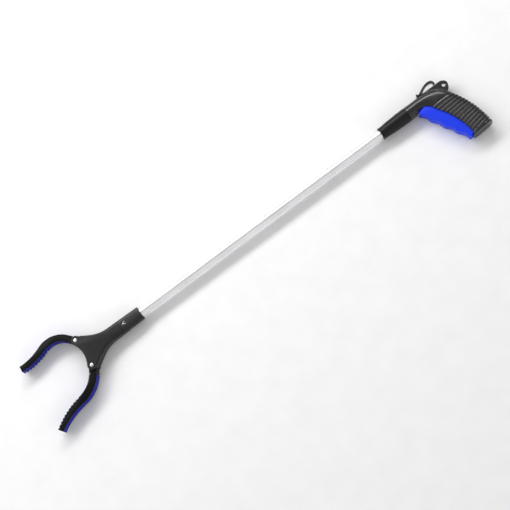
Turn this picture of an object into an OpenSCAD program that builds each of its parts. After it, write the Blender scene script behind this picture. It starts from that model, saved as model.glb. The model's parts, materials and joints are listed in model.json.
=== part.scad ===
// Reacher grabber: a pistol grip whose trigger pulls a rod through a tube and closes two jaw fingers.
//
// Frame: the tool lies on its side. The origin is the centre of the hang hole, hang_rise over the
// tube's axis. The tube runs along X, with the jaws at -X. The grip hangs towards -Y, the clip is at +Y,
// and +Z is the side that faces up. Millimetres and degrees throughout.

/* [Tube and rod] */
// Length of tube that shows between the neck sleeve and the collar
reach = 464.5; // [250:0.5:700]
// Outside diameter of the tube
tube_d = 14; // [13:0.5:16]
// Wall of the tube
tube_wall = 1.2; // [0.8:0.1:1.5]
// Diameter of the pull rod
rod_d = 4; // [3:0.5:4.5]

/* [Handle] */
// From the hang hole to the joint between sleeve and grip
seam_to_hang = 72.7; // [70:0.1:80]
// Length of the neck sleeve that shows
sleeve_len = 51.2; // [45:0.1:80]
// Diameter of the neck behind the sleeve
neck_d = 23.4; // [22.6:0.2:24]
// Wall of the neck
neck_wall = 2.4; // [1.8:0.1:2.6]
// Straight part of the neck, from the hang hole forward
bend_to_hang = 51.7; // [50:0.1:54]
// Radius of the bend from neck to grip, on its middle line
bend_r = 40; // [39:0.5:44]
// Lean of the grip's top end, away from square to the tube
grip_lean = 32.6; // [30:0.2:35]
// Radius of the grip's middle line, which curves gently backwards
grip_arc_r = 134.6; // [125:0.1:160]
// Depth of the grip, from its front edge to its spine
grip_depth = 37.4; // [35:0.1:40]
// Width of the grip, across both shells
grip_w = 27; // [24:0.5:32]
// Spine wall of the grip
grip_wall = 3.2; // [2.5:0.1:4]
// Angle that the grip runs past the middle of its arc, at the butt
butt_deg = 0.6; // [0.4:0.1:3]
// Height of the hang hole over the tube's axis
hang_rise = 3.3; // [0:0.1:5]
// Thickness of the web and the hang tab
tab_t = 8; // [6:0.5:10]
// Outside radius of the hang tab
tab_r = 7; // [6:0.1:9]
// Diameter of the hang hole
hang_hole_d = 6.4; // [5:0.1:8]

/* [Clip] */
// Width of the clip loop
clip_w = 8; // [6:0.5:10]
// Thickness of the clip's strip
clip_t = 2.8; // [1.8:0.1:3]
// Height of the clip's loop over the web
clip_rise = 10.6; // [9:0.1:14]

/* [Trigger] */
// Width of the trigger
trigger_w = 16; // [14:0.5:17]
// Gap between the trigger and each shell
trigger_gap = 0.6; // [0.4:0.1:0.8]
// Depth of the finger grooves
groove_depth = 2.4; // [0:0.1:4]
// Number of finger grooves
groove_n = 4; // [3:1:5]
// Drive pin, forward of the hang hole
drive_back = 52; // [51:0.5:53]
// Pivot pin, below the tube's axis
pivot_drop = 84; // [80:0.5:86]

/* [Jaw housing] */
// Length of the collar
collar_len = 37.4; // [35:0.1:45]
// Width of the collar across its flats, at the tube's end
collar_back_w = 20.4; // [18.6:0.1:22]
// Width of the collar across its flats, at the jaw's end
collar_front_w = 22; // [21:0.1:24]
// Depth of the jaw housing
head_depth = 22; // [21.4:0.1:24]
// Wall of the jaw housing
head_wall = 2.2; // [1.8:0.1:2.4]
// From the tube's end of the collar to the finger rivets
rivet_reach = 107; // [103:0.5:112]
// From the tube's axis to each finger rivet
rivet_off = 24; // [22.5:0.1:26]
// Radius of the hollow mouth between the fingers
mouth_r = 39; // [36:0.5:44]

/* [Fingers] */
// Turn of each finger from open to closed
finger_swing = 31; // [20:0.5:31]
// From each rivet to its drive pin
lever_len = 16; // [14.5:0.1:16.5]
// Angle of each lever behind square, with the jaws open
lever_rest = 20; // [18:0.5:22]
// Depth of the fingers
finger_depth = 16; // [12:0.5:16.4]
// Thickness of the toothed pad
pad_t = 3; // [2:0.1:4]
// Thickness of the outer strip of the pad
strip_t = 1.2; // [0.8:0.1:2]
// Thickness of the arm's two face plates, between which the pad is moulded
plate_t = 1.6; // [1:0.1:2.4]
// Spacing of the teeth
tooth_pitch = 5.6; // [4:0.1:8]
// Height of the teeth
tooth_h = 1.5; // [0:0.1:1.6]

/* [Fits] */
// Running clearance around pins, rods and journals
run_gap = 0.05; // [0.03:0.01:0.1]
// Clearance between seated pieces
seat_gap = 0.05; // [0:0.01:0.1]
// Side clearance of the pins in their slots
slot_gap = 0.2; // [0.15:0.01:0.3]
// Clearance between pieces that pass each other
pass_gap = 0.4; // [0.3:0.1:0.6]

/* [Hidden] */
$fn = 48;
eps = 0.01;
big = 200;

shell_colour = [0.1, 0.1, 0.11];
matt_colour = [0.13, 0.13, 0.14];
blue_colour = [0.1, 0.2, 0.85];
pad_colour = [0.14, 0.15, 0.55];
steel_colour = [0.75, 0.76, 0.78];
tube_colour = [0.93, 0.93, 0.94];
nylon_colour = [0.85, 0.85, 0.8];

// Tube and rod
tube_r = tube_d / 2;
bore_r = tube_r - tube_wall;
rod_r = rod_d / 2;
seam_x = -seam_to_hang;
mouth_x = seam_x - sleeve_len;
head_x = mouth_x - reach;
nose_len = 15;
nose_wall = 1.4;
nose_r = tube_r + nose_wall;
tube_stop_x = seam_x - 5;
bulkhead_t = 6;
guide_r = rod_r + 2;
tube_seat = 22;

// Handle
neck_r = neck_d / 2;
neck_bore_r = neck_r - neck_wall;
bend_c = [-bend_to_hang, -bend_r];
bend_end = bend_c + bend_r * [cos(grip_lean), sin(grip_lean)];
grip_c = bend_end - grip_arc_r * [cos(grip_lean), sin(grip_lean)];
grip_front_r = grip_arc_r - grip_depth / 2;
grip_spine_r = grip_arc_r + grip_depth / 2;
trigger_half = trigger_w / 2;
slot_half = trigger_half + trigger_gap;
rim_y = -1.8;
throat_x = -61.5;
floor_front_deg = -0.4;
floor_rear_deg = 1.2;
butt_lean = 4;
web_top_y = neck_r + 0.1;
web_front_x = -48;

// Pins and screws
pin_r = 2;
finger_pin_r = 1.5;
boss_wall = 2;
screw_r = 1.3;
screw_head_r = 2.6;
screw_head_t = 2;
screw_len = 16;
web_screw = [-19, 6.2];
grip_screws = [for (a = [2.4, 16.5]) grip_c + (grip_spine_r - 7) * [cos(a), sin(a)]];
web_screw_half = tab_t / 2;

// Trigger
pivot = [0, -pivot_drop];
tongue_half = 2;
cheek_half = 4.2;
drive_rise = 3;
drive_rest = [-drive_back, -drive_rise];
groove_steps = 8;
trigger_tip = [-60, -12.4];
trigger_toe = [-20.4, -91.6];
trigger_top = [-43, -7.6];
hub_r = 5;
notch_y = -14.6;
skin_r = grip_front_r + 15;

// Jaw housing, in a local frame whose origin is the collar's tube end and whose x runs to the jaws
swivel_gap = 0.4;
shell_start = collar_len + swivel_gap;
head_half = head_depth / 2;
room_half = head_half - head_wall - 0.2;
web_at = 27;
web_t = 4;
journal_r = 5;
flange_r = 7.6;
washer_t = 0.8;
ring_r = 6.6;
spindle_end = shell_start + 12.2;
clamp_r = 6.2;
guide_end = rivet_reach - 30;
stem_r = 6;
button_r = 4;
button_t = 3;
button_at = 66;
stem_from = rivet_reach - 42.8;
stem_to = rivet_reach - 21;
mouth_at = rivet_reach + 1;
mouth_wall = 1.2;
arm_r = 7.4;
finger_hub_r = 6.2;
tail_r = 3.2;
cheek_in = 2.6;
cheek_out = 5.8;
plate_half = 2.2;
head_bolts = [[84.5, 14.4], [84.5, -14.4]];
arm_chamfer = 1.6;

// Slider travel, so that straight slots drive both fingers evenly
slot_lean = lever_rest + finger_swing / 2;
slot_scale = lever_len / cos(slot_lean);
travel = 2 * slot_scale * sin(finger_swing / 2);
slot_run = travel * sin(slot_lean);
pin_rest = [rivet_reach - lever_len * sin(lever_rest), rivet_off - lever_len * cos(lever_rest)];
pin_end = pin_rest + slot_run * [sin(slot_lean), cos(slot_lean)];
slot_r = finger_pin_r + slot_gap / 2;

// Spring
seat_flange_t = 2;
spring_front_x = tube_stop_x - seat_flange_t - 32;
spring_coil_r = 4.3;
spring_wire_r = 0.55;
spring_turns = 9;

// Fingers: straight root, bend, reverse bend. Lengths along the finger, then headings, then thickness
upper = [[15, 62, 108], [51, -22, 5], [11.2, 10]];
lower = [[8, 58, 115], [60, 7, 35], [12.2, 9.4]];
finger_step = 1.4;
pad_from = 13;
tooth_from = 58;
tip_cap = 2.5;
pad_half = finger_depth / 2 - plate_t;

// ---- Functions ----
function lerp(a, b, t) = a + (b - a) * t;
function smooth(t) = t <= 0 ? 0 : t >= 1 ? 1 : t * t * (3 - 2 * t);
function polar(c, r, a) = c + r * [cos(a), sin(a)];
function arc(c, r, a0, a1, n) = [for (i = [0:n]) polar(c, r, lerp(a0, a1, i / n))];
function bezier(p, n) = [for (i = [0:n]) let (t = i / n, u = 1 - t)
    u * u * u * p[0] + 3 * u * u * t * p[1] + 3 * u * t * t * p[2] + t * t * t * p[3]];
function flip(points) = [for (i = [len(points) - 1:-1:0]) points[i]];
function mirror_y(points) = [for (p = points) [p.x, -p.y]];
function power(v, n) = sign(v) * pow(abs(v), n);

// Heading, middle line, thickness and one edge of a finger
function heading(f, s) = s < f[0][0] ? f[1][0]
    : s < f[0][1] ? lerp(f[1][0], f[1][1], (s - f[0][0]) / (f[0][1] - f[0][0]))
    : lerp(f[1][1], f[1][2], (s - f[0][1]) / (f[0][2] - f[0][1]));
function finger_steps(f) = floor(f[0][2] / finger_step);
function thickness(f, s) = lerp(f[2][0], f[2][1], smooth((s - f[0][1]) / (f[0][2] - f[0][1])));
function finger_line(f) = [for (i = 0, s = 0, p = [0, 0]; i <= finger_steps(f);
    p = p + finger_step * [cos(heading(f, s)), sin(heading(f, s))], i = i + 1, s = i * finger_step) [p, s]];
function tooth(s, on) =
    on && s > tooth_from ? tooth_h * (1 - cos(360 * (s - tooth_from) / tooth_pitch)) / 2 : 0;
function edge(f, from, to, side, inset, teeth = false) = [for (q = finger_line(f))
    if (q[1] >= from && q[1] <= to) let (a = heading(f, q[1]))
    q[0] + side * (thickness(f, q[1]) / 2 - inset - tooth(q[1], teeth)) * [-sin(a), cos(a)]];

// ---- Shared shapes ----
module along_x(x, len, r) {
    translate([x, 0, 0]) rotate([0, 90, 0]) cylinder(r = r, h = len);
}

// A rod along X in the jaw housing's local frame
module head_rod(from, to, r) {
    along_x(from, to - from, r);
}

// Everything of the jaw housing is drawn with x towards the jaws, then turned to face -X
module in_head() {
    translate([head_x, 0, 0]) rotate([0, 0, 180]) mirror([0, 1, 0]) children();
}

// The part's origin is the hang hole; everything is drawn about the tube's axis and moved here
module from_hang() {
    translate([0, -hang_rise, 0]) children();
}

module bar2d(p, q, r) {
    d = q - p;
    translate(p) circle(r);
    translate(q) circle(r);
    translate(p) rotate(atan2(d.y, d.x)) translate([0, -r]) square([norm(d), 2 * r]);
}

// Closed skin over a row of rings of n points each
module skin(rings, n) {
    last = len(rings) - 1;
    polyhedron([for (r = rings) for (p = r) p], concat(
        [[for (i = [0:n - 1]) i]], [[for (i = [n - 1:-1:0]) last * n + i]],
        [for (k = [0:last - 1]) for (i = [0:n - 1]) let (j = (i + 1) % n)
            each [[k * n + i, (k + 1) * n + i, (k + 1) * n + j], [k * n + i, (k + 1) * n + j, k * n + j]]]));
}

module slab(half) {
    linear_extrude(2 * half, center = true) children();
}

module upper_half() {
    intersection() {
        children();
        translate([-2 * big - reach, -big, 0]) cube([4 * big + reach, 2 * big, big]);
    }
}

module lower_half() {
    intersection() {
        children();
        translate([-2 * big - reach, -big, -big]) cube([4 * big + reach, 2 * big, big]);
    }
}

module ring_x(x, len, r_out, r_in) {
    difference() {
        along_x(x, len, r_out);
        along_x(x - 1, len + 2, r_in);
    }
}

// A countersunk-free pan head screw whose head is at the bottom, at z
module screw(z, len) {
    translate([0, 0, z]) cylinder(r = screw_head_r, h = screw_head_t);
    translate([0, 0, z + screw_head_t - eps]) cylinder(r = screw_r, h = len - screw_head_t);
}

// ---- Handle ----
// Stations along the neck, the bend and the grip: middle point, direction, and how far it has become grip
function stations() = concat(
    [for (x = [seam_x, -bend_to_hang - 6]) [[x, 0], 90, 0]],
    [for (i = [0:12]) let (a = lerp(90, grip_lean, i / 12)) [polar(bend_c, bend_r, a), a, smooth(i / 12)]],
    [for (i = [1:10]) let (a = lerp(grip_lean, -butt_deg, i / 10))
        [polar(grip_c, grip_arc_r, a), a + butt_lean * smooth(i / 10), 1]]);

// Ring of a station: across is the half depth in the plan, up is the half width
function ring(st, n) = let (
    across = lerp(neck_r, grip_depth / 2, st[2]),
    up = lerp(neck_r, grip_w / 2, st[2]),
    soft = lerp(1, 0.62, st[2])) [for (i = [0:n - 1]) let (t = 360 * i / n,
    q = st[0] + across * power(cos(t), soft) * [cos(st[1]), sin(st[1])]) [q.x, q.y, up * power(sin(t), soft)]];

module handle_body() {
    n = 36;
    skin([for (st = stations()) ring(st, n)], n);
}

// Thin web that fills the corner behind the bend and ends in the hang tab
module web_outline() {
    foot = polar(grip_c, grip_spine_r - 4, grip_lean - 1);
    polygon(concat([[web_front_x, 1], [web_front_x, web_top_y], [-2, web_top_y]],
        arc([-2, web_top_y - tab_r + 1], tab_r - 1, 80, 20, 6), [[tab_r - 1.6, -3], foot]));
}

module handle_solid() {
    handle_body();
    slab(tab_t / 2) web_outline();
    translate([0, hang_rise]) slab(tab_t / 2) circle(tab_r);
    along_x(seam_x - nose_len, nose_len + 1, nose_r);
}

module trigger_room() {
    room_r = bend_r + 3.4;
    slab(slot_half) polygon(concat([bend_c, [throat_x + 1, bend_c.y], [throat_x + 1, 1]],
        arc(bend_c, room_r, 86, grip_lean - 4, 8)));
    slab(slot_half) polygon(concat(arc(grip_c, grip_front_r - 9, grip_lean + 4, floor_front_deg, 6),
        arc(grip_c, grip_spine_r - grip_wall, floor_rear_deg, grip_lean - 1, 10)));
}

// Channel in which the clevis slides
module clevis_room() {
    along_x(tube_stop_x + bulkhead_t, -bend_to_hang - tube_stop_x - bulkhead_t, neck_bore_r);
    slab(cheek_half + 0.6) polygon(concat(
        [[-bend_to_hang - 4, rim_y - 6], [-bend_to_hang - 4, neck_bore_r - 1]],
        arc(bend_c, bend_r + neck_bore_r - 0.3, 90, 62, 6), [polar(bend_c, bend_r - 4, 62)]));
}

module handle_hollow() {
    clevis_room();
    along_x(seam_x - nose_len - 1, nose_len + 1 + (tube_stop_x - seam_x), tube_r + seat_gap);
    along_x(tube_stop_x - 1, bulkhead_t + 2, guide_r + seat_gap);
    trigger_room();
}

module pivot_boss() {
    translate(pivot) difference() {
        slab(slot_half + 1) circle(hub_r);
        slab(trigger_half + 0.2) circle(hub_r + 1);
    }
}

module screw_posts() {
    for (p = grip_screws) translate(p) slab(slot_half + 1) circle(screw_r + boss_wall);
}

module handle_casing() {
    difference() {
        union() {
            difference() {
                handle_solid();
                handle_hollow();
            }
            pivot_boss();
            screw_posts();
        }
        translate([0, hang_rise]) cylinder(r = hang_hole_d / 2, h = 3 * tab_t, center = true);
        translate(pivot) cylinder(r = pin_r, h = 2 * (slot_half + 2), center = true);
        for (p = grip_screws) translate([p.x, p.y, -grip_w]) {
            cylinder(r = screw_head_r + seat_gap, h = grip_w - slot_half + screw_head_t);
            cylinder(r = screw_r, h = 1.4 * grip_w);
        }
        translate([web_screw.x, web_screw.y, -web_screw_half - eps]) {
            cylinder(r = screw_head_r + seat_gap, h = screw_head_t + eps);
            cylinder(r = screw_r, h = tab_t - 1);
        }
        clip_tongue(seat_gap);
    }
}

module handle_shell_front() {
    color(shell_colour) upper_half() handle_casing();
}

module handle_shell_back() {
    color(shell_colour) lower_half() handle_casing();
}

module handle_screws() {
    color(steel_colour) {
        for (p = grip_screws) translate(p) screw(-slot_half, screw_len);
        translate(web_screw) screw(-web_screw_half, tab_t - 1.2);
    }
}

module trigger_pin() {
    color(steel_colour) translate(pivot) cylinder(r = pin_r, h = 2 * (slot_half + 1.6), center = true);
}

module neck_sleeve() {
    bead_r = 0.9;
    mouth_r_out = tube_r + 2.7;
    color(matt_colour) difference() {
        rotate([0, 90, 0]) rotate_extrude() polygon(concat(
            [[0, mouth_x + 1.4], [tube_r + 0.6, mouth_x + 0.9]],
            arc([mouth_r_out, mouth_x + bead_r], bead_r, -160, 20, 8),
            [[mouth_r_out, mouth_x + 2.4], [neck_r - 0.6, mouth_x + 24], [neck_r, seam_x - 14],
             [neck_r, seam_x - 0.4], [neck_r - 0.4, seam_x], [0, seam_x]]));
        along_x(mouth_x - 1, sleeve_len + 2, tube_r + seat_gap);
        along_x(seam_x - nose_len - 0.2, nose_len + 1, nose_r + seat_gap);
        translate([mouth_x + 10, 0, -neck_r - 1]) cylinder(r = screw_r, h = neck_r);
        translate([mouth_x + 10, 0, -neck_r - 1]) cylinder(r = screw_head_r, h = neck_r + 1 - tube_r - 1);
    }
}

module tube() {
    color(tube_colour) difference() {
        ring_x(head_x, tube_stop_x - head_x, tube_r, bore_r);
        translate([mouth_x + 10, 0, -tube_r - 1]) cylinder(r = screw_r, h = tube_r);
    }
}

// Short screw that holds the sleeve to the tube, from the underside
module tube_screw() {
    head_z = -tube_r - 1 - 1.2;
    color(steel_colour) translate([mouth_x + 10, 0, 0]) {
        translate([0, 0, head_z]) cylinder(r = screw_head_r - 0.1, h = 1.2);
        translate([0, 0, head_z + 1]) cylinder(r = screw_r, h = -bore_r - head_z - 0.8);
    }
}

module rod_guide_rear() {
    color(nylon_colour) difference() {
        union() {
            along_x(tube_stop_x, bulkhead_t, guide_r);
            along_x(tube_stop_x - seat_flange_t, seat_flange_t, bore_r - 0.1);
        }
        along_x(tube_stop_x - 5, bulkhead_t + 10, rod_r + run_gap);
    }
}

module rod_guide_front() {
    color(nylon_colour) ring_x(head_x + 1.4, 14, bore_r - seat_gap, rod_r + run_gap);
}

// The spring is drawn as the rings of its coils, joined by two straight wires
module return_spring() {
    len = tube_stop_x - seat_flange_t - spring_front_x;
    pitch = len / spring_turns;
    color(steel_colour) {
        for (i = [0:spring_turns - 1])
            translate([spring_front_x + (i + 0.5) * pitch, 0, 0]) rotate([0, 90, 0])
                rotate_extrude($fn = 32) translate([spring_coil_r, 0]) circle(spring_wire_r, $fn = 16);
        for (s = [-1, 1])
            along_x_bar(spring_front_x, len, s * spring_coil_r);
    }
}

module along_x_bar(x, len, y) {
    translate([x, y, 0]) rotate([0, 90, 0]) cylinder(r = 0.3, h = len, $fn = 16);
}

// ---- Clip ----
module clip_tongue(gap) {
    translate([-44 - gap, 7 - gap, -1.6 - gap]) cube([5 + 2 * gap, web_top_y - 7 + 2 * gap, 3.2 + 2 * gap]);
}

module hanging_clip() {
    foot_x = -44.4;
    foot_h = 2.4;
    top_y = web_top_y + clip_rise;
    outer = concat(
        bezier([[-40, web_top_y + foot_h], [-34, web_top_y + 4.6], [-26, top_y], [-17.5, top_y]], 10),
        bezier([[-17.5, top_y], [-11.5, top_y], [-9, top_y - 3], [-9, web_top_y + 2]], 6));
    inner = concat(bezier([[-9 - clip_t, web_top_y + 2], [-9 - clip_t, top_y - 4], [-13, top_y - clip_t],
        [-17.5, top_y - clip_t]], 6), bezier([[-17.5, top_y - clip_t], [-26, top_y - clip_t],
        [-30, web_top_y + 3.4], [-35.5, web_top_y + 1]], 10));
    color(shell_colour) {
        slab(clip_w / 2) polygon(concat([[foot_x, web_top_y], [foot_x, web_top_y + 3.4],
            [foot_x + 1.6, web_top_y + 5.4], [foot_x + 3.2, web_top_y + 3.2]], outer, inner,
            [[-35.5, web_top_y]]));
        clip_tongue(0);
    }
}

// ---- Trigger ----
function trigger_front() = let (d = trigger_toe - trigger_tip, n = [d.y, -d.x] / norm(d),
    count = groove_n * groove_steps) [for (i = [0:count]) let (t = i / count)
    trigger_tip + t * d - groove_depth * (1 - cos(360 * groove_n * t)) / 2 * n];

module trigger() {
    back = arc(grip_c, skin_r, 1.8, grip_lean - 2, 10);
    color(blue_colour) difference() {
        union() {
            difference() {
                slab(trigger_half) polygon(concat(trigger_front(), back, [trigger_top]));
                translate([-drive_back - 14, notch_y, -cheek_half - 0.7]) cube([22, 20, 2 * cheek_half + 1.4]);
            }
            slab(trigger_half) translate(pivot) circle(hub_r - 0.5);
            slab(tongue_half) bar2d(drive_rest, [-drive_back + 4, notch_y - 4], pin_r + 1.6);
        }
        translate(pivot) cylinder(r = pin_r + run_gap, h = big, center = true);
        translate(drive_rest) cylinder(r = pin_r, h = big, center = true);
    }
}

module drive_pin() {
    color(steel_colour) translate(drive_rest) cylinder(r = pin_r, h = 2 * cheek_half, center = true);
}

// ---- Rod ----
module pull_rod() {
    back = -drive_back - 7;
    color(steel_colour) {
        along_x(head_x - button_at, back - head_x + button_at, rod_r);
        along_x(head_x - button_at - button_t, button_t + eps, button_r);
    }
}

module rod_clevis() {
    front = -drive_back - 11.5;
    cheek_back = -drive_back + pin_r + slot_gap + 1.8;
    half_y = drive_rise + pin_r + slot_gap + 1.3;
    slot_run_y = drive_rise + 0.1;
    color(steel_colour) difference() {
        translate([front, -half_y, -cheek_half]) cube([cheek_back - front, 2 * half_y, 2 * cheek_half]);
        translate([-drive_back - 5.4, -big, -tongue_half - 0.2]) cube([big, 2 * big, 2 * (tongue_half + 0.2)]);
        slab(big) bar2d([-drive_back, -slot_run_y], [-drive_back, slot_run_y], pin_r + slot_gap);
        along_x(front - 1, -drive_back - 7 - front + 1, rod_r);
    }
}

module spring_collar() {
    color(steel_colour) ring_x(spring_front_x - 3, 3, bore_r - 0.4, rod_r);
}

// ---- Collar and swivel ----
module octagon_cone(from, to, w0, w1) {
    k = 1 / cos(22.5) / 2;
    translate([from, 0, 0]) rotate([0, 90, 0]) rotate(22.5)
        cylinder(r1 = w0 * k, r2 = w1 * k, h = to - from, $fn = 8);
}

module mark_outline() {
    tip_x = collar_len - 3.6;
    back_x = collar_len - 8.6;
    half = 2.5;
    stroke = 1.9;
    polygon([[tip_x, 0], [back_x, half], [back_x - stroke, half], [tip_x - stroke - 0.8, 0],
        [back_x - stroke, -half], [back_x, -half]]);
}

module mark_body(gap) {
    slope = atan((collar_front_w - collar_back_w) / 2 / collar_len);
    translate([0, 0, collar_back_w / 2 - 0.7]) rotate([0, -slope, 0])
        linear_extrude(0.9 + gap) mark_outline();
}

module swivel_collar() {
    color(shell_colour) in_head() difference() {
        octagon_cone(0, collar_len, collar_back_w, collar_front_w);
        head_rod(-1, tube_seat, tube_r + seat_gap);
        head_rod(tube_seat - eps, web_at, ring_r + pass_gap);
        head_rod(web_at - 1, collar_len + 1, journal_r + run_gap);
        head_rod(web_at + web_t, collar_len + 1, flange_r + pass_gap);
        mark_body(1);
    }
}

module index_mark() {
    color(steel_colour) in_head() mark_body(0);
}

module friction_washer() {
    color(nylon_colour) in_head() difference() {
        head_rod(web_at + web_t, web_at + web_t + washer_t, flange_r);
        head_rod(0, big, journal_r + 0.1);
    }
}

module swivel_ring() {
    color(steel_colour) in_head() difference() {
        head_rod(web_at - 2.2, web_at - 0.2, ring_r);
        head_rod(0, big, journal_r - 0.8);
    }
}

module swivel_spindle() {
    color(steel_colour) in_head() difference() {
        union() {
            head_rod(web_at - 3.4, web_at - 2.2, journal_r);
            head_rod(web_at - 2.3, web_at - 0.1, journal_r - 0.8);
            head_rod(web_at - 0.2, web_at + web_t + washer_t + 1, journal_r);
            head_rod(web_at + web_t + washer_t, shell_start + 2, clamp_r);
            head_rod(web_at + web_t + washer_t, shell_start - 1, flange_r);
            head_rod(shell_start, spindle_end, clamp_r);
            head_rod(shell_start + 4, shell_start + 7, flange_r);
        }
        head_rod(0, big, rod_r + 0.6);
    }
}

// ---- Jaw housing ----
// One side of the plan outline, from the neck to the rivet, drawn in by inset
function flank(inset) = let (w = collar_front_w / 2 - inset, x1 = rivet_reach - 2, y1 = rivet_off + 6.5 - inset)
    concat([[shell_start, w]],
        bezier([[shell_start + 19, w], [x1 - 25, w], [x1 - 17, y1 - 8.5], [x1, y1]], 12));

// Edge of the chamfer that runs on from the collar's eight sides and fades towards the rivets
function chamfer(x) = lerp(head_half * (1 - tan(22.5)), arm_chamfer,
    smooth((x - shell_start) / (rivet_reach - 2 - shell_start)));
function head_ring(p) = let (w = p.y, c = chamfer(p.x), h = head_half) [
    [p.x, w, c - h], [p.x, w, h - c], [p.x, w - c, h], [p.x, c - w, h],
    [p.x, -w, h - c], [p.x, -w, c - h], [p.x, c - w, -h], [p.x, w - c, -h]];

module head_body() {
    rings = [for (p = flank(0)) head_ring(p)];
    skin(rings, 8);
}

// Flat ends of the two arms, rounded about the rivets
module arm_plan() {
    x1 = rivet_reach - 2;
    y1 = rivet_off + 6.5;
    polygon([[x1, y1], [mouth_at + 6, rivet_off - 4], [mouth_at + 6, 4 - rivet_off], [x1, -y1]]);
}

module head_solid() {
    difference() {
        union() {
            head_body();
            slab(head_half) arm_plan();
            for (s = [-1, 1]) translate([rivet_reach, s * rivet_off])
                cylinder(r = arm_r, h = head_depth, center = true);
        }
        translate([mouth_at + mouth_r, 0]) cylinder(r = mouth_r, h = 2 * head_depth, center = true, $fn = 96);
    }
}

// Hollow for the crosshead and the fingers' tails
module head_room() {
    side = flank(head_wall + 0.4);
    difference() {
        intersection() {
            polygon(concat(
                side, [[mouth_at + 8, rivet_off], [mouth_at + 8, -rivet_off]], flip(mirror_y(side))));
            translate([guide_end, -big]) square(2 * big);
        }
        translate([mouth_at + mouth_r, 0]) circle(mouth_r + mouth_wall, $fn = 96);
    }
}

// Space at each rivet, open to the side and to the front, that the finger swings in
module finger_room() {
    for (s = [-1, 1]) translate([rivet_reach, s * rivet_off]) {
        circle(finger_hub_r + 1);
        polygon([[0, 0], [0, -s * (finger_hub_r + 1)], [9, s * (0.2 - finger_hub_r)], [30, 0], [30, s * 30],
            polar([0, 0], 30, s * 118)]);
    }
}

module head_casing() {
    difference() {
        head_solid();
        slab(room_half) head_room();
        slab(room_half) finger_room();
        head_rod(shell_start - 1, guide_end + 1, stem_r + run_gap);
        head_rod(shell_start - 1, spindle_end, clamp_r + seat_gap);
        head_rod(shell_start + 4 - seat_gap, shell_start + 7 + seat_gap, flange_r + seat_gap);
        for (s = [-1, 1]) translate([rivet_reach, s * rivet_off]) cylinder(r = pin_r, h = big, center = true);
    }
}

module head_posts() {
    for (p = head_bolts) translate(p) slab(room_half + 0.5) circle(screw_r + 1.4);
}

module head_shell() {
    difference() {
        union() {
            head_casing();
            head_posts();
        }
        for (p = head_bolts) translate([p.x, p.y, -head_half - eps]) {
            cylinder(r = screw_head_r - 0.2, h = screw_head_t + eps);
            cylinder(r = screw_r, h = head_depth - 3);
        }
    }
}

module head_shell_front() {
    color(shell_colour) in_head() upper_half() head_shell();
}

module head_shell_back() {
    color(shell_colour) in_head() lower_half() head_shell();
}

module head_screws() {
    color(steel_colour) in_head() for (p = head_bolts) translate([p.x, p.y, -head_half]) {
        cylinder(r = screw_head_r - 0.3, h = screw_head_t);
        cylinder(r = screw_r, h = head_depth - 4);
    }
}

module finger_rivet(s) {
    cap_r = 3.2;
    color(steel_colour) in_head() translate([rivet_reach, s * rivet_off]) {
        cylinder(r = pin_r, h = head_depth, center = true);
        for (m = [0, 1]) mirror([0, 0, m]) translate([0, 0, head_half]) rotate_extrude()
            polygon([[0, 0], [cap_r, 0], [cap_r - 0.3, 0.7], [cap_r - 1.3, 1.3], [0, 1.6]]);
    }
}

module finger_rivet_upper() {
    finger_rivet(1);
}

module finger_rivet_lower() {
    finger_rivet(-1);
}

// ---- Crosshead ----
module crosshead() {
    neck_end = [stem_to + 3.6, 2.2];
    t_half = button_r + 0.15;
    ear_end = 2.3;
    ear_half = slot_r + 1.8;
    color(nylon_colour) in_head() difference() {
        union() {
            head_rod(stem_from, stem_to, stem_r);
            slab(plate_half) for (s = [0, 1]) mirror([0, s]) {
                translate(pin_rest) rotate(90 - slot_lean) translate([-ear_end, -ear_half])
                    square([slot_run + 2 * ear_end, 2 * ear_half]);
                bar2d(neck_end, pin_rest - [1.3, 0.9], 2.9);
            }
            slab(plate_half) translate([stem_to - 3, -5.4]) square([7, 10.8]);
        }
        for (s = [0, 1]) mirror([0, s]) slab(big) bar2d(pin_rest, pin_end, slot_r);
        head_rod(button_at - 0.15, button_at + button_t + 0.15, t_half);
        translate([button_at - 0.15, -t_half, -big]) cube([button_t + 0.3, 2 * t_half, big]);
        head_rod(stem_from - 1, button_at, rod_r + 0.2);
        translate([stem_from - 1, -rod_r - 0.2, -big])
            cube([button_at - stem_from + 1, 2 * rod_r + 0.4, big]);
    }
}

// ---- Fingers ----
// Drawn from the rivet, with x forward and y outward; s is 1 for the upper finger and -1 for the lower
module at_rivet(s) {
    in_head() translate([rivet_reach, s * rivet_off]) mirror([0, s < 0 ? 1 : 0, 0]) children();
}

module finger_arm(f) {
    body_end = f[0][2] - tip_cap;
    pin = -lever_len * [sin(lever_rest), cos(lever_rest)];
    difference() {
        union() {
            slab(finger_depth / 2) polygon(concat(
                edge(f, 0, pad_from, 1, 0), edge(f, pad_from + eps, body_end, 1, strip_t),
                flip(edge(f, pad_from + eps, body_end, -1, pad_t)), flip(edge(f, 0, pad_from, -1, 0))));
            slab(finger_depth / 2) circle(finger_hub_r);
            for (m = [0, 1]) mirror([0, 0, m]) translate([0, 0, pad_half]) linear_extrude(plate_t)
                polygon(concat(edge(f, pad_from, big, 1, 0), flip(edge(f, pad_from, big, -1, 0, true))));
            difference() {
                slab(cheek_out) bar2d([0, 0], pin, tail_r);
                slab(cheek_in) bar2d([0, 0], pin * 1.2, tail_r + 1);
            }
        }
        cylinder(r = pin_r + run_gap, h = big, center = true);
        translate(pin) cylinder(r = finger_pin_r, h = big, center = true);
    }
}

module finger_pad(f) {
    arm_end = f[0][2] - tip_cap;
    slab(pad_half) polygon(concat(
        edge(f, pad_from + eps, big, 1, 0), flip(edge(f, pad_from + eps, big, -1, 0, true)),
        edge(f, pad_from + eps, arm_end, -1, pad_t), flip(edge(f, pad_from + eps, arm_end, 1, strip_t))));
}

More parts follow.
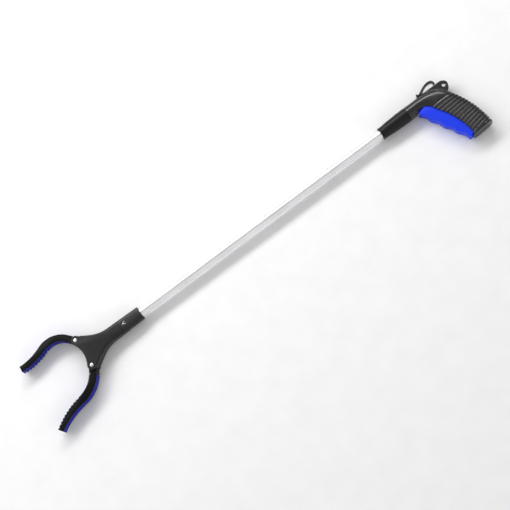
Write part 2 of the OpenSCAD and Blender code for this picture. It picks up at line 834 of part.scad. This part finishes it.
module finger_pin(s) {
    color(steel_colour) at_rivet(s) translate(-lever_len * [sin(lever_rest), cos(lever_rest)])
        cylinder(r = finger_pin_r, h = 2 * cheek_out, center = true);
}

module finger_arm_upper() {
    color(shell_colour) at_rivet(1) finger_arm(upper);
}

module finger_arm_lower() {
    color(shell_colour) at_rivet(-1) finger_arm(lower);
}

module finger_pad_upper() {
    color(pad_colour) at_rivet(1) finger_pad(upper);
}

module finger_pad_lower() {
    color(pad_colour) at_rivet(-1) finger_pad(lower);
}

module finger_pin_upper() {
    finger_pin(1);
}

module finger_pin_lower() {
    finger_pin(-1);
}

from_hang() handle_shell_front();
from_hang() handle_shell_back();
from_hang() neck_sleeve();
from_hang() hanging_clip();
from_hang() tube();
from_hang() tube_screw();
from_hang() handle_screws();
from_hang() trigger_pin();
from_hang() rod_guide_rear();
from_hang() rod_guide_front();
from_hang() return_spring();
from_hang() swivel_collar();
from_hang() index_mark();
from_hang() trigger();
from_hang() drive_pin();
from_hang() pull_rod();
from_hang() rod_clevis();
from_hang() spring_collar();
from_hang() head_shell_front();
from_hang() head_shell_back();
from_hang() head_screws();
from_hang() swivel_spindle();
from_hang() swivel_ring();
from_hang() friction_washer();
from_hang() finger_rivet_upper();
from_hang() finger_rivet_lower();
from_hang() crosshead();
from_hang() finger_arm_upper();
from_hang() finger_pad_upper();
from_hang() finger_pin_upper();
from_hang() finger_arm_lower();
from_hang() finger_pad_lower();
from_hang() finger_pin_lower();
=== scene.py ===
import json
import math

import bmesh
import bpy
from mathutils import Matrix, Vector


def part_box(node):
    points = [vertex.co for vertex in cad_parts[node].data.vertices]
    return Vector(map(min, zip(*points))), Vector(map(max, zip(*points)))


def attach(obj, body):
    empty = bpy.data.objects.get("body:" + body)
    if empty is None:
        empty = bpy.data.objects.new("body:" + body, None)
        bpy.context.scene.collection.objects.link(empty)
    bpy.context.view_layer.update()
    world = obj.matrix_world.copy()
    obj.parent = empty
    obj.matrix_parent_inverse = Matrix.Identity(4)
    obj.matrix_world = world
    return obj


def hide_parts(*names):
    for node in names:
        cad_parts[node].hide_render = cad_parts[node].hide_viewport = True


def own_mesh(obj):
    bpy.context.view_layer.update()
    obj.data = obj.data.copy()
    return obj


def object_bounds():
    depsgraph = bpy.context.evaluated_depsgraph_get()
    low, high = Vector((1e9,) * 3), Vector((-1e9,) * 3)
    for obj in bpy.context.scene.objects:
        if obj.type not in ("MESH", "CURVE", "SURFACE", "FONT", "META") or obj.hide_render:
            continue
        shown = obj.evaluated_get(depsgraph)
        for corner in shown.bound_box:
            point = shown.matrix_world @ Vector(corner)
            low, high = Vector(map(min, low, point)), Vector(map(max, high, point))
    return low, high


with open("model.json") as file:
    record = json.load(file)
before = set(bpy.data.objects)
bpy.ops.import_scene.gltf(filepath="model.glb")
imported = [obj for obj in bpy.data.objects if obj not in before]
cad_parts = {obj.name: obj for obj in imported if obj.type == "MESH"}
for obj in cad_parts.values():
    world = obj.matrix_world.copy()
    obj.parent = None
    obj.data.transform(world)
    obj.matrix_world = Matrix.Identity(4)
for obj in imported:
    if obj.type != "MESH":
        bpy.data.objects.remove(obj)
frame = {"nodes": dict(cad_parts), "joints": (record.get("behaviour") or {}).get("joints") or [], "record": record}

CAD_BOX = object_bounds()
MM = 0.001
NODES = frame["nodes"]
NODE_BODY = {node: body for body, nodes in frame["record"]["behaviour"]["bodies"].items() for node in nodes}
NODE_SLOT = {row["node"]: row["material_slot"] for row in frame["record"]["subparts"]}
JOINTS = {joint["name"]: joint for joint in frame["joints"]}


# ---- Places, all in millimetres, taken from the frame ----
def box_mm(node):
    low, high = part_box(node)
    return Vector(low) / MM, Vector(high) / MM


def joint_mm(name):
    return Vector(JOINTS[name]["pos_m"]) / MM


SLEEVE_LOW, SLEEVE_HIGH = box_mm("neck_sleeve")
TUBE_LOW, TUBE_HIGH = box_mm("tube")
COLLAR_LOW, COLLAR_HIGH = box_mm("swivel_collar")
NECK_R = SLEEVE_HIGH.z
TUBE_R = TUBE_HIGH.z
SEAM_X = SLEEVE_HIGH.x
MOUTH_X = SLEEVE_LOW.x
AXIS_Y = (TUBE_LOW.y + TUBE_HIGH.y) / 2


# ---- Camera, light and floor ----
IMAGE_SIZE = 510
MM_PER_PIXEL = 1.546
TUBE_TILT = math.radians(36.65)
VIEW_LEAN = math.radians(17.5)
CAMERA_FAR = 2000
SENSOR = 36
AIM = Vector((-392.7, -38.6, 0))


def make_camera():
    back = Vector((0, -math.sin(VIEW_LEAN), math.cos(VIEW_LEAN)))
    level = Vector((1, 0, 0))
    rise = Vector((0, math.cos(VIEW_LEAN), math.sin(VIEW_LEAN)))
    right = level * math.cos(TUBE_TILT) - rise * math.sin(TUBE_TILT)
    up = level * math.sin(TUBE_TILT) + rise * math.cos(TUBE_TILT)
    data = bpy.data.cameras.new("photo_camera")
    data.sensor_width = SENSOR
    data.lens = SENSOR * CAMERA_FAR / (MM_PER_PIXEL * IMAGE_SIZE)
    camera = bpy.data.objects.new("photo_camera", data)
    bpy.context.collection.objects.link(camera)
    place = (AIM + back * CAMERA_FAR) * MM
    camera.matrix_world = Matrix.Translation(place) @ Matrix((right, up, back)).transposed().to_4x4()
    bpy.context.scene.camera = camera


def area_light(name, place, aim, size, power, colour=(1, 1, 1)):
    data = bpy.data.lights.new(name, "AREA")
    data.shape = "RECTANGLE"
    data.size, data.size_y = size
    data.energy = power
    data.color = colour
    light = bpy.data.objects.new(name, data)
    bpy.context.collection.objects.link(light)
    light.location = place
    light.rotation_euler = (Vector(aim) - Vector(place)).to_track_quat("-Z", "Y").to_euler()


def make_stage():
    bpy.context.scene.view_settings.view_transform = "Standard"
    low_z = CAD_BOX[0][2] - 0.0005
    bpy.ops.mesh.primitive_plane_add(size=8, location=(-0.39, 0, low_z))
    floor = bpy.context.object
    floor.name = "floor"
    floor.data.materials.append(plain_material("floor_paper", (0.95, 0.95, 0.955), 0.95))
    world = bpy.data.worlds.new("studio")
    bpy.context.scene.world = world
    world.use_nodes = True
    world.node_tree.nodes["Background"].inputs["Color"].default_value = (1, 1, 1, 1)
    world.node_tree.nodes["Background"].inputs["Strength"].default_value = 0.5
    middle = (-0.39, 0, 0)
    area_light("strip", (-0.39, 1.3, 1.3), middle, (2.8, 0.45), 29)
    area_light("side", (-1.9, 0.9, 1.3), middle, (1.2, 1.2), 6)
    area_light("fill", (-0.2, -2.1, 1.4), middle, (2.4, 1.4), 5)


# ---- Materials ----
def new_material(name):
    material = bpy.data.materials.new(name)
    material.use_nodes = True
    tree = material.node_tree
    return material, tree, tree.nodes["Principled BSDF"]


def plain_material(name, colour, roughness):
    material, tree, shader = new_material(name)
    noise = add_noise(tree, 30, 4)
    link_ramp(tree, noise.outputs["Fac"], shader.inputs["Base Color"],
              [tone(colour, 0.98), tone(colour, 1.02)])
    shader.inputs["Roughness"].default_value = roughness
    return material


def tone(colour, factor):
    return tuple(min(1, channel * factor) for channel in colour)


def add_noise(tree, scale, detail, stretch=(1, 1, 1), distortion=0):
    place = tree.nodes.new("ShaderNodeTexCoord")
    mapping = tree.nodes.new("ShaderNodeMapping")
    mapping.inputs["Scale"].default_value = stretch
    noise = tree.nodes.new("ShaderNodeTexNoise")
    noise.inputs["Scale"].default_value = scale
    noise.inputs["Detail"].default_value = detail
    noise.inputs["Distortion"].default_value = distortion
    tree.links.new(place.outputs["Object"], mapping.inputs["Vector"])
    tree.links.new(mapping.outputs["Vector"], noise.inputs["Vector"])
    return noise


def link_ramp(tree, source, target, colours, low=0.3, high=0.7):
    ramp = tree.nodes.new("ShaderNodeValToRGB")
    ramp.color_ramp.elements[0].position = low
    ramp.color_ramp.elements[1].position = high
    for element, colour in zip(ramp.color_ramp.elements, colours):
        element.color = (*colour, 1)
    tree.links.new(source, ramp.inputs["Fac"])
    tree.links.new(ramp.outputs["Color"], target)
    return ramp


def link_range(tree, source, target, low, high, from_low=0.3, from_high=0.7):
    span = tree.nodes.new("ShaderNodeMapRange")
    span.inputs["From Min"].default_value = from_low
    span.inputs["From Max"].default_value = from_high
    span.inputs["To Min"].default_value = low
    span.inputs["To Max"].default_value = high
    tree.links.new(source, span.inputs["Value"])
    tree.links.new(span.outputs["Result"], target)


def add_bump(tree, shader, layers):
    """Layers are (height source, strength, distance in mm), stacked in turn."""
    last = None
    for source, strength, distance in layers:
        bump = tree.nodes.new("ShaderNodeBump")
        bump.inputs["Strength"].default_value = strength
        bump.inputs["Distance"].default_value = distance * MM
        tree.links.new(source, bump.inputs["Height"])
        if last:
            tree.links.new(last.outputs["Normal"], bump.inputs["Normal"])
        last = bump
    tree.links.new(last.outputs["Normal"], shader.inputs["Normal"])


def edge_wear(tree, base_ramp, shader, worn, amount):
    """Sharp edges are rubbed a little lighter, in broken patches."""
    geometry = tree.nodes.new("ShaderNodeNewGeometry")
    sharp = tree.nodes.new("ShaderNodeMapRange")
    sharp.inputs["From Min"].default_value = 0.53
    sharp.inputs["From Max"].default_value = 0.62
    patch = add_noise(tree, 220, 3)
    product = tree.nodes.new("ShaderNodeMath")
    product.operation = "MULTIPLY"
    scaled = tree.nodes.new("ShaderNodeMath")
    scaled.operation = "MULTIPLY"
    scaled.inputs[1].default_value = amount
    mix = tree.nodes.new("ShaderNodeMix")
    mix.data_type = "RGBA"
    tree.links.new(geometry.outputs["Pointiness"], sharp.inputs["Value"])
    tree.links.new(sharp.outputs["Result"], product.inputs[0])
    tree.links.new(patch.outputs["Fac"], product.inputs[1])
    tree.links.new(product.outputs["Value"], scaled.inputs[0])
    tree.links.new(scaled.outputs["Value"], mix.inputs["Factor"])
    tree.links.new(base_ramp.outputs["Color"], mix.inputs[6])
    mix.inputs[7].default_value = (*worn, 1)
    tree.links.new(mix.outputs[2], shader.inputs["Base Color"])


def moulded_plastic(name, colour, roughness, grain=0.25, coat=0.0, variation=0.12, wear=None, gloss=0.22):
    """Injection-moulded plastic: slow colour drift, spark-eroded grain, uneven gloss, rubbed edges."""
    material, tree, shader = new_material(name)
    drift = add_noise(tree, 45, 5)
    grain_noise = add_noise(tree, 2600, 2)
    smear = add_noise(tree, 70, 4, (1, 3, 1), 0.6)
    ramp = link_ramp(tree, drift.outputs["Fac"], shader.inputs["Base Color"],
                     [tone(colour, 1 - variation), tone(colour, 1 + variation)])
    link_range(tree, smear.outputs["Fac"], shader.inputs["Roughness"], roughness * 0.85, roughness * 1.2)
    add_bump(tree, shader, [(smear.outputs["Fac"], 0.08, 0.2), (grain_noise.outputs["Fac"], grain, 0.05)])
    shader.inputs["Coat Weight"].default_value = coat
    shader.inputs["Coat Roughness"].default_value = 0.2
    shader.inputs["Specular IOR Level"].default_value = gloss
    if wear:
        edge_wear(tree, ramp, shader, wear, 0.5)
    return material


def soft_rubber(name, colour, roughness):
    material, tree, shader = new_material(name)
    drift = add_noise(tree, 60, 5)
    grain = add_noise(tree, 1500, 3)
    dust = add_noise(tree, 260, 4)
    link_ramp(tree, drift.outputs["Fac"], shader.inputs["Base Color"],
              [tone(colour, 0.82), tone(colour, 1.15)])
    link_range(tree, dust.outputs["Fac"], shader.inputs["Roughness"], roughness * 0.9, roughness * 1.15)
    add_bump(tree, shader, [(grain.outputs["Fac"], 0.35, 0.06)])
    shader.inputs["Specular IOR Level"].default_value = 0.2
    shader.inputs["Sheen Weight"].default_value = 0.02
    shader.inputs["Sheen Roughness"].default_value = 0.5
    return material


def metal(name, colour, roughness, stretch=(1, 1, 1), scale=300, bump=0.06, metallic=1.0):
    """Metal with drawing or turning marks along the stretched direction."""
    material, tree, shader = new_material(name)
    marks = add_noise(tree, scale, 6, stretch)
    drift = add_noise(tree, 25, 3)
    link_ramp(tree, drift.outputs["Fac"], shader.inputs["Base Color"],
              [tone(colour, 0.94), tone(colour, 1.04)])
    link_range(tree, marks.outputs["Fac"], shader.inputs["Roughness"], roughness * 0.75, roughness * 1.3)
    add_bump(tree, shader, [(marks.outputs["Fac"], bump, 0.03)])
    shader.inputs["Metallic"].default_value = metallic
    return material


def make_materials():
    along_tube = (0.03, 1, 1)
    rubbed = (0.035, 0.035, 0.038)
    return {
        "grip_plastic": moulded_plastic("grip_black", (0.002, 0.002, 0.0024), 0.27, 0.04, 0.2,
                                        wear=rubbed, gloss=0.6),
        "sleeve_plastic": moulded_plastic("sleeve_black", (0.004, 0.004, 0.0045), 0.4, 0.25, gloss=0.3),
        "head_plastic": moulded_plastic("housing_grey", (0.02, 0.0195, 0.02), 0.42, 0.25, 0.1, 0.25,
                                        wear=(0.06, 0.06, 0.06)),
        "finger_plastic": moulded_plastic("finger_black", (0.0015, 0.0015, 0.002), 0.42, 0.2,
                                          wear=rubbed, gloss=0.16),
        "trigger_plastic": moulded_plastic("trigger_blue", (0.010, 0.046, 0.84), 0.42, 0.12, 0.0, 0.05),
        "pad_rubber": soft_rubber("pad_blue", (0.004, 0.006, 0.34), 0.6),
        "tube_metal": metal("tube_bright", (0.93, 0.93, 0.94), 0.3, along_tube, 500, metallic=0.75),
        "steel": metal("plated_steel", (0.62, 0.62, 0.64), 0.3),
        "spring_steel": metal("spring_wire", (0.5, 0.5, 0.52), 0.32),
        "rivet_steel": metal("rivet_bright", (0.6, 0.6, 0.61), 0.3, scale=150),
        # The index mark's near-white colour is a painted highlight: the raised tab is coloured as the glint it
        # catches, not in its own colour.
        "bright_mark": moulded_plastic("mark_painted_highlight", (0.62, 0.62, 0.63), 0.4, 0.1, 0.1, 0.03),
        "nylon": moulded_plastic("natural_nylon", (0.78, 0.77, 0.7), 0.45, 0.15, 0, 0.04),
    }


# ---- Mesh tools ----
def new_piece(name, mesh_data, node_names, material, body=None):
    """Links a mesh as a piece that stands for the named CAD nodes."""
    piece = bpy.data.objects.new(name, mesh_data)
    bpy.context.collection.objects.link(piece)
    mesh_data.materials.clear()
    mesh_data.materials.append(material)
    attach(piece, body or NODE_BODY[node_names[0]])
    if node_names:
        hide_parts(*node_names)
    return piece


def merged_copy(node):
    """The node's mesh with its split vertices joined and its flat triangles dissolved."""
    work = bmesh.new()
    work.from_mesh(NODES[node].data)
    bmesh.ops.transform(work, matrix=NODES[node].matrix_world, verts=work.verts)
    bmesh.ops.remove_doubles(work, verts=work.verts, dist=1e-6)
    bmesh.ops.dissolve_limit(work, angle_limit=math.radians(0.5), verts=work.verts, edges=work.edges)
    data = bpy.data.meshes.new(node + "_mesh")
    work.to_mesh(data)
    work.free()
    return data


def with_modifiers(data, *changes):
    """Applies each modifier (type, settings) in turn and returns the resulting mesh."""
    carrier = bpy.data.objects.new("carrier", data)
    bpy.context.collection.objects.link(carrier)
    for kind, settings in changes:
        modifier = carrier.modifiers.new(kind.lower(), kind)
        for key, value in settings.items():
            setattr(modifier, key, value)
    graph = bpy.context.evaluated_depsgraph_get()
    result = bpy.data.meshes.new_from_object(carrier.evaluated_get(graph))
    bpy.data.objects.remove(carrier)
    return result


def bevelled(width, segments=3, angle=28):
    return ("BEVEL", {"width": width * MM, "segments": segments, "limit_method": "ANGLE",
                      "angle_limit": math.radians(angle), "harden_normals": False, "miter_outer": "MITER_ARC"})


def shade(data, angle=32):
    for polygon in data.polygons:
        polygon.use_smooth = True
    work = bmesh.new()
    work.from_mesh(data)
    for edge in work.edges:
        sharp = len(edge.link_faces) == 2 and edge.calc_face_angle(0) > math.radians(angle)
        edge.smooth = not sharp
    work.to_mesh(data)
    work.free()
    return data


def rounded_node(node, name, width, material, segments=3, angle=28):
    data = with_modifiers(merged_copy(node), bevelled(width, segments, angle))
    return new_piece(name, shade(data, 40), [node], material)


def remeshed_node(node, voxel, rounds, factor=0.5):
    """The node's solid on an even grid, with its edges softened as a moulding's are."""
    return with_modifiers(merged_copy(node),
                          ("REMESH", {"mode": "VOXEL", "voxel_size": voxel * MM, "use_smooth_shade": True}),
                          ("SMOOTH", {"factor": factor, "iterations": rounds}))


def lathe(profile, origin=None, axis="X", segments=96, close=True):
    """Turns a profile of (along, radius) points, in mm, about an axis line through origin.

    A point of no radius closes the end with a fan."""
    origin = origin or Vector((0, AXIS_Y, 0))
    work = bmesh.new()
    rings = []
    for along, radius in profile:
        ring = []
        for k in range(segments if radius else 1):
            turn = 2 * math.pi * k / segments
            a, b = radius * math.cos(turn), radius * math.sin(turn)
            point = Vector((along, a, b) if axis == "X" else (a, b, along))
            ring.append(work.verts.new((origin + point) * MM))
        rings.append(ring)
    pairs = list(zip(rings, rings[1:])) + ([(rings[-1], rings[0])] if close else [])
    for first, second in pairs:
        for k in range(segments):
            j = (k + 1) % segments
            corners = [first[k % len(first)], first[j % len(first)],
                       second[j % len(second)], second[k % len(second)]]
            work.faces.new(list(dict.fromkeys(corners)))
    bmesh.ops.recalc_face_normals(work, faces=work.faces)
    data = bpy.data.meshes.new("turned")
    work.to_mesh(data)
    work.free()
    return data


def swept(path, radius, sides=12):
    """A wire of round section along a path of points in mm, with closed ends."""
    work = bmesh.new()
    rings = []
    for k, point in enumerate(path):
        ahead = (path[min(k + 1, len(path) - 1)] - path[max(k - 1, 0)]).normalized()
        out = (point - Vector((point.x, AXIS_Y, 0))).normalized()
        side = ahead.cross(out).normalized()
        rings.append([work.verts.new((point + radius * (out * math.cos(2 * math.pi * i / sides)
                                                        + side * math.sin(2 * math.pi * i / sides))) * MM)
                      for i in range(sides)])
    for first, second in zip(rings, rings[1:]):
        for i in range(sides):
            j = (i + 1) % sides
            work.faces.new((first[i], first[j], second[j], second[i]))
    work.faces.new(rings[0])
    work.faces.new(rings[-1])
    bmesh.ops.recalc_face_normals(work, faces=work.faces)
    data = bpy.data.meshes.new("wire")
    work.to_mesh(data)
    work.free()
    return data


def arc_points(centre, radius, start, end, count):
    return [(centre[0] + radius * math.cos(math.radians(start + (end - start) * k / count)),
             centre[1] + radius * math.sin(math.radians(start + (end - start) * k / count)))
            for k in range(count + 1)]


make_camera()
MATERIALS = make_materials()
make_stage()


# ---- Handle shells ----
GRIP_C = Vector((-131.4, -94.3))
GRIP_MID_R = 134.6
GRIP_HALF_DEPTH = 18.7
GRIP_HALF_WIDTH = 13.5
SECTION_SOFT = 0.62
RIB_FAN = Vector((330, -17))
RIB_STEP = math.radians(0.976)
RIB_TOP_Y = -19
RIB_END_Y = -91
RIB_DEPTH = 3.4
RIB_ROUND = 0.8
VOXEL = 0.6


def smoothstep(low, high, value):
    t = min(1, max(0, (value - low) / (high - low)))
    return t * t * (3 - 2 * t)


def rib_groove(x, y, z):
    """Depth of the valleys between the grip's ribs at a point of its outer skin, and nothing elsewhere.

    The ribs fan out slightly from a far point. Each is round, with a narrow valley on either side."""
    from_centre = Vector((x, y)) - GRIP_C
    across = abs(from_centre.length - GRIP_MID_R) / GRIP_HALF_DEPTH
    up = abs(z) / GRIP_HALF_WIDTH
    on_skin = smoothstep(0.84, 0.92, across ** (1 / SECTION_SOFT) + up ** (1 / SECTION_SOFT))
    fan = Vector((x, y)) - RIB_FAN
    turn = math.atan2(-fan.y, -fan.x) / RIB_STEP
    band = smoothstep(RIB_END_Y - 1.5, RIB_END_Y + 1.5, y) * (1 - smoothstep(RIB_TOP_Y - 4, RIB_TOP_Y + 1, y))
    from_crest = 2 * abs(turn - round(turn))
    return on_skin * band * RIB_DEPTH * (1 - math.sqrt(1 - RIB_ROUND * from_crest ** 2))


def make_handle_shell(node):
    data = remeshed_node(node, VOXEL, 5)
    moves = [(vertex, vertex.normal.copy(), rib_groove(*(vertex.co / MM))) for vertex in data.vertices]
    for vertex, normal, depth in moves:
        vertex.co -= normal * depth * MM
    data = with_modifiers(data, ("SMOOTH", {"factor": 0.5, "iterations": 4}))
    new_piece(node + "_ribbed", data, [node], MATERIALS["grip_plastic"])


make_handle_shell("handle_shell_front")
make_handle_shell("handle_shell_back")


# ---- Turned pieces ----
def make_sleeve():
    lip_r = TUBE_R + 2.7
    bore = TUBE_R + 0.1
    profile = ([(MOUTH_X + 2.2, bore), (MOUTH_X + 1.5, bore + 0.5)]
               + arc_points((MOUTH_X + 0.9, lip_r), 0.9, 235, 20, 14)
               + [(MOUTH_X + 2.6, lip_r + 0.05), (MOUTH_X + 8, lip_r + 0.35), (MOUTH_X + 16, NECK_R - 1.05),
                  (MOUTH_X + 24, NECK_R - 0.62), (SEAM_X - 14, NECK_R - 0.1), (SEAM_X - 2, NECK_R)]
               + arc_points((SEAM_X - 1.1, NECK_R - 1.0), 1.0, 90, 0, 6)
               + [(SEAM_X - 0.1, TUBE_R + 1.6), (SEAM_X - 15, TUBE_R + 1.6), (SEAM_X - 15, bore)])
    new_piece("neck_sleeve_turned", shade(lathe(profile)), ["neck_sleeve"], MATERIALS["sleeve_plastic"])


make_sleeve()


def make_rivet(node):
    """A turned rivet: a low dome with a peened edge and a small dimple, the same on both sides."""
    low, high = box_mm(node)
    centre = (low + high) / 2
    cap_r = (high.x - low.x) / 2 - 0.05
    top = high.z
    base = HOUSING_HALF
    shank_r = RIVET_SHANK
    half = ([(top - 0.45, 0), (top - 0.4, 0.5), (top - 0.12, 0.95), (top - 0.02, 1.25), (top - 0.2, 1.8)]
            + arc_points((top - 0.95, cap_r - 0.75), 0.75, 20, 90, 6)
            + [(base + 0.1, cap_r), (base, cap_r - 0.15), (base, shank_r)])
    profile = half + [(-along, radius) for along, radius in reversed(half)]
    data = lathe(profile, Vector((centre.x, centre.y, 0)), "Z", 64, False)
    new_piece(node + "_turned", shade(data), [node], MATERIALS["rivet_steel"])


HOUSING_HALF = box_mm("head_shell_front")[1].z
RIVET_SHANK = 2
make_rivet("finger_rivet_upper")
make_rivet("finger_rivet_lower")


def islands(node):
    """The separate solids of a node, each as its list of points in mm."""
    work = bmesh.new()
    work.from_mesh(merged_copy(node))
    left, found = set(work.verts), []
    while left:
        grow, group = [left.pop()], []
        while grow:
            vertex = grow.pop()
            group.append(vertex.co / MM)
            near = {edge.other_vert(vertex) for edge in vertex.link_edges} & left
            left -= near
            grow.extend(near)
        found.append(group)
    work.free()
    return sorted(found, key=lambda group: (round(group[0].x), round(group[0].y)))


def screw_mesh(points):
    """A pan-head screw with a cross recess, in the place of a screw solid whose head is at the bottom."""
    xs, ys, zs = [[point[i] for point in points] for i in range(3)]
    centre = Vector(((min(xs) + max(xs)) / 2, (min(ys) + max(ys)) / 2, 0))
    head_r = (max(xs) - min(xs)) / 2
    low, high = min(zs), max(zs)
    head_t = max(point.z for point in points if (point.xy - centre.xy).length > 0.9 * head_r) - low
    shank_r = max((point.xy - centre.xy).length for point in points if point.z > low + head_t + 0.3)
    rings = [(low, RECESS_STEP * k) for k in range(int((head_r - 0.5) / RECESS_STEP))]
    profile = (rings + arc_points((low + 0.45, head_r - 0.45), 0.45, 180, 90, 5)
               + [(low + head_t, head_r), (low + head_t, shank_r), (high - 0.4, shank_r),
                  (high, shank_r - 0.4), (high, 0)])
    data = lathe(profile, centre, "Z", 64, False)
    for vertex in data.vertices:
        u, v = vertex.co.x / MM - centre.x, vertex.co.y / MM - centre.y
        if vertex.co.z / MM < low + 0.01:
            arm = min(max(abs(u) / 1.5, abs(v) / 0.36), max(abs(u) / 0.36, abs(v) / 1.5))
            vertex.co.z += (1 - smoothstep(0.8, 1.15, arm)) * min(0.8, head_t * 0.6) * MM
    return shade(data)


def make_screws(node):
    work = bmesh.new()
    for points in islands(node):
        work.from_mesh(screw_mesh(points))
    data = bpy.data.meshes.new(node + "_mesh")
    work.to_mesh(data)
    work.free()
    new_piece(node + "_recessed", data, [node], MATERIALS[NODE_SLOT[node]])


RECESS_STEP = 0.12
make_screws("handle_screws")
make_screws("head_screws")
make_screws("tube_screw")


def make_spring():
    """One wire wound as a helix, with its end turns closed up, and room left for it to shorten."""
    low, high = box_mm("return_spring")
    coil_r = high.z - SPRING_WIRE_R - 0.02
    free_turns = SPRING_TURNS - 2 * SPRING_END_TURNS
    end_pitch = 1.15 * 2 * SPRING_WIRE_R * 0.72
    free_length = high.x - low.x - 2 * SPRING_WIRE_R - 2 * SPRING_END_TURNS * end_pitch
    path = []
    for k in range(SPRING_TURNS * SPRING_STEPS + 1):
        turn = k / SPRING_STEPS
        free = min(max(turn - SPRING_END_TURNS, 0), free_turns)
        closed = min(turn, SPRING_END_TURNS) + max(turn - SPRING_END_TURNS - free_turns, 0)
        x = low.x + SPRING_WIRE_R + end_pitch * closed + free_length * free / free_turns
        angle = 2 * math.pi * turn
        path.append(Vector((x, AXIS_Y + coil_r * math.cos(angle), coil_r * math.sin(angle))))
    spring = new_piece("return_spring_wound", shade(swept(path, SPRING_WIRE_R), 50), ["return_spring"],
                       MATERIALS["spring_steel"])
    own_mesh(spring)


SPRING_WIRE_R = 0.55
SPRING_TURNS = 11
SPRING_END_TURNS = 1.5
SPRING_STEPS = 40
make_spring()


# ---- Rounded pieces ----
rounded_node("swivel_collar", "swivel_collar_rounded", 0.7, MATERIALS["head_plastic"])
rounded_node("head_shell_front", "head_shell_front_rounded", 0.5, MATERIALS["head_plastic"])
rounded_node("head_shell_back", "head_shell_back_rounded", 0.5, MATERIALS["head_plastic"])
rounded_node("hanging_clip", "hanging_clip_rounded", 0.5, MATERIALS["grip_plastic"])
# The index mark carries the near-white painted highlight.
rounded_node("index_mark", "index_mark_rounded", 0.2, MATERIALS["bright_mark"])
rounded_node("trigger", "trigger_rounded", 1.4, MATERIALS["trigger_plastic"], 4)
for side in ("upper", "lower"):
    rounded_node("finger_arm_" + side, "finger_arm_" + side + "_rounded", 0.35, MATERIALS["finger_plastic"])
    rounded_node("finger_pad_" + side, "finger_pad_" + side + "_rounded", 0.3, MATERIALS["pad_rubber"])


# ---- Carried-over CAD nodes ----
for node, thing in NODES.items():
    thing.data.materials.clear()
    thing.data.materials.append(MATERIALS[NODE_SLOT[node]])
